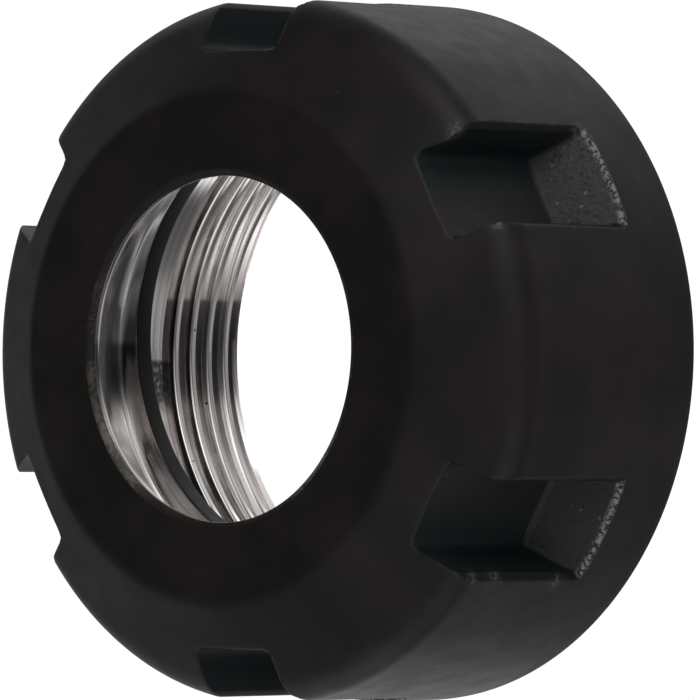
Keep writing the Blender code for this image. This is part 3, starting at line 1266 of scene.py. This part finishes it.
# %% Floor
floor_half = 1.5
floor_drop = 0.02 * MM
floor_corners = np.array([[-1, -1, 0], [1, -1, 0], [1, 1, 0], [-1, 1, 0]]) * floor_half
floor_corners[:, 2] = -floor_drop
floor_mesh = bpy.data.meshes.new("floor")
floor_mesh.from_pydata(floor_corners.tolist(), [], [(0, 1, 2, 3)])
floor = bpy.data.objects.new("floor", floor_mesh)
bpy.context.scene.collection.objects.link(floor)
paper, tree, shader, place = new_material("white_paper")
shader.inputs["Base Color"].default_value = (0.0, 0.0, 0.0, 1)
shader.inputs["Roughness"].default_value = 0.9
shader.inputs["Specular IOR Level"].default_value = 0.0
fibres = use_group(tree, blotches, Place=place, Blotch_Size=0.05, Grain_Size=0.004)
fibre_share = spread(tree, fibres.outputs["Blotch"], 0.3, 0.7)
glow = mix_color(tree, fibre_share, (1.0, 1.0, 1.0), (0.995, 0.995, 0.995))
tree.links.new(glow, shader.inputs["Emission Color"])
shader.inputs["Emission Strength"].default_value = 1.05
floor_mesh.materials.append(paper)
floor.visible_diffuse = floor.visible_glossy = False
floor.visible_transmission = floor.visible_shadow = False
print("floor:", 2 * floor_half, "m square")

# %% [markdown]
# ## Light tent
#
# Black oxide and bright steel show little but their surroundings, so the light is a tent: dim
# all round, with large soft panels. Area lights could stand for them, but each would have a
# hard border in the steel. Here each panel is a soft lobe of the world's brightness, strength
# times exp(spread (direction . towards - 1)), and the dim places between the panels give the
# front ring its depth.

# %% Panels
tent_dim = 0.07
tent_panels = [
    # towards (x, y, z), spread, strength
    ((0.47, 0.84, 0.26), 20, 5.94),
    ((-0.21, -0.98, -0.08), 20, 2.58),
    ((-0.35, 0.62, -0.70), 20, 1.68),
    ((0.14, -0.56, 0.81), 20, 1.70),
    ((-0.82, -0.22, -0.53), 8, 0.77),
    ((0.73, -0.68, 0.10), 20, 4.64),
    ((-0.47, -0.48, -0.74), 20, 1.11),
    ((-0.78, -0.58, 0.21), 20, 1.21),
    ((-0.79, 0.59, -0.15), 20, 1.09),
    ((0.72, 0.51, 0.47), 20, 3.25),
    ((0.33, 0.66, -0.68), 20, 0.69),
    ((0.06, 0.53, 0.84), 20, 1.43),
    ((0.26, -0.10, -0.96), 20, 0.78),
    ((-0.46, -0.41, 0.79), 20, 0.66),
    ((0.69, 0.54, -0.48), 60, 0.80),
]
world = bpy.data.worlds.new("light_tent")
bpy.context.scene.world = world
world.use_nodes = True
tree = world.node_tree
background = tree.nodes["Background"]
direction = tree.nodes.new("ShaderNodeTexCoord").outputs["Generated"]
brightness = tent_dim
for towards, softness, strength in tent_panels:
    facing = add(
        tree, "ShaderNodeVectorMath", {"operation": "DOT_PRODUCT"}, i0=direction, i1=towards
    )
    fall = calc(tree, "MULTIPLY_ADD", facing.outputs["Value"], softness, -softness)
    lobe = calc(tree, "EXPONENT", fall)
    brightness = calc(tree, "MULTIPLY_ADD", lobe, strength, brightness)
print("panels:", len(tent_panels))

# %% [markdown]
# ## Slits before and behind the nut
#
# The bore works like a row of curved mirrors, and the dark bands in it are gaps between the
# panels. Two slits, one before the front face and one behind the rear face, draw those bands.
# A photographer would hang black card there; in the tent it is one factor on the brightness.
# Here x points sideways, y up in the picture and z out of the nut's front. A slit is a window
# in x and y, dim inside and brighter at its borders.

# %% Slits
sides = add(tree, "ShaderNodeSeparateXYZ", None, Vector=direction)
sideways, upward, forward = sides.outputs[0], sides.outputs[1], sides.outputs[2]
middle_gain, lower_gain, upper_gain = 0.6, 1.7, 2.4

slit = product(
    tree, spread(tree, upward, -0.18, -0.16), spread(tree, upward, 0.13, 0.25, 1.0, 0.0)
)
border_gain = mix_value(tree, spread(tree, upward, -0.1, 0.1), lower_gain, upper_gain)
slit_gain = mix_value(tree, slit, border_gain, middle_gain)
before = spread(tree, forward, 0.75, 0.85)
behind = spread(tree, forward, -0.85, -0.80, 1.0, 0.0)
for beyond in (before, behind):
    ahead = product(
        tree, beyond, window(tree, sideways, 0.10, 0.50, 0.05),
        window(tree, upward, -0.5, 0.5, 0.1),
    )
    brightness = product(tree, brightness, mix_value(tree, ahead, 1.0, slit_gain))
print("slits: 2")

# %% [markdown]
# ## Light for the land and the seat's end
#
# The plain land before the thread faces one place of the tent, behind the nut and to its
# right, which is made brighter. A narrow strip straight behind the nut draws the bright line
# at the end of the seat. Across, the strip fades as exp(-(x / width)^2).

# %% Land light and strip
land_gain = 2.4
land_light = product(
    tree, window(tree, sideways, 0.57, 0.77, 0.05), window(tree, forward, -0.85, -0.55, 0.04),
    window(tree, upward, -0.6, 0.5, 0.1),
)
brightness = product(tree, brightness, mix_value(tree, land_light, 1.0, land_gain))

strip_middle, strip_width, strip_strength = 0.05, 0.07, 1.3
off_strip = calc(tree, "SUBTRACT", sideways, strip_middle)
off_strip = calc(tree, "DIVIDE", off_strip, strip_width)
strip = calc(tree, "EXPONENT", product(tree, off_strip, off_strip, -1.0))
gap = calc(tree, "SUBTRACT", 1.0, window(tree, upward, 0.02, 0.13, 0.02))
strip = product(tree, strip, spread(tree, forward, -0.75, -0.6, 1.0, 0.0), gap)
brightness = calc(tree, "MULTIPLY_ADD", strip, strip_strength, brightness)

background.inputs["Color"].default_value = (0.8, 0.8, 0.8, 1)
tree.links.new(brightness, background.inputs["Strength"])
bpy.context.scene.view_settings.view_transform = "Standard"
print("tent:", len(tree.nodes), "nodes")

# %% [markdown]
# ## Camera
#
# The camera stands far off with a long lens, so that the nut is hardly foreshortened. Its
# place was found by fitting the nut's circles to the photograph's outlines: the tilt is the
# angle between the view and the nut's axis, the slots' turn says how far it goes round that
# axis, and turn, nod and roll are the last small corrections that put the nut in its frame.
# The lens is worked out from the picture's longer side in pixels.

# %% Camera
camera_tilt = 0.7126
camera_turn = 0.0107
camera_nod = 0.0004
camera_roll = 0.0202
slot_turn = 0.0115
camera_distance = 0.52324
image_side = 700
focal_pixels = 8619.85
view_out = Vector((math.sin(camera_tilt), 0.0, math.cos(camera_tilt)))
view_right = Vector((math.cos(camera_tilt), 0.0, -math.sin(camera_tilt)))
view_up = Vector((0.0, 1.0, 0.0))
axes = Matrix((view_right, view_up, view_out)).transposed()
axes = Matrix.Rotation(camera_roll, 3, view_out) @ axes
axes = Matrix.Rotation(camera_turn, 3, axes.col[1]) @ axes
axes = Matrix.Rotation(camera_nod, 3, axes.col[0]) @ axes
standpoint = Matrix.Translation(view_out * camera_distance) @ axes.to_4x4()

camera_data = bpy.data.cameras.new("camera")
camera_data.sensor_fit = "AUTO"
camera_data.sensor_width = 36.0
camera_data.lens = focal_pixels * camera_data.sensor_width / image_side
camera_data.clip_start = 0.05
camera = bpy.data.objects.new("camera", camera_data)
camera.matrix_world = Matrix.Rotation(-slot_turn, 4, "Z") @ standpoint
bpy.context.scene.collection.objects.link(camera)
bpy.context.scene.camera = camera
print("lens:", camera_data.lens, "mm")
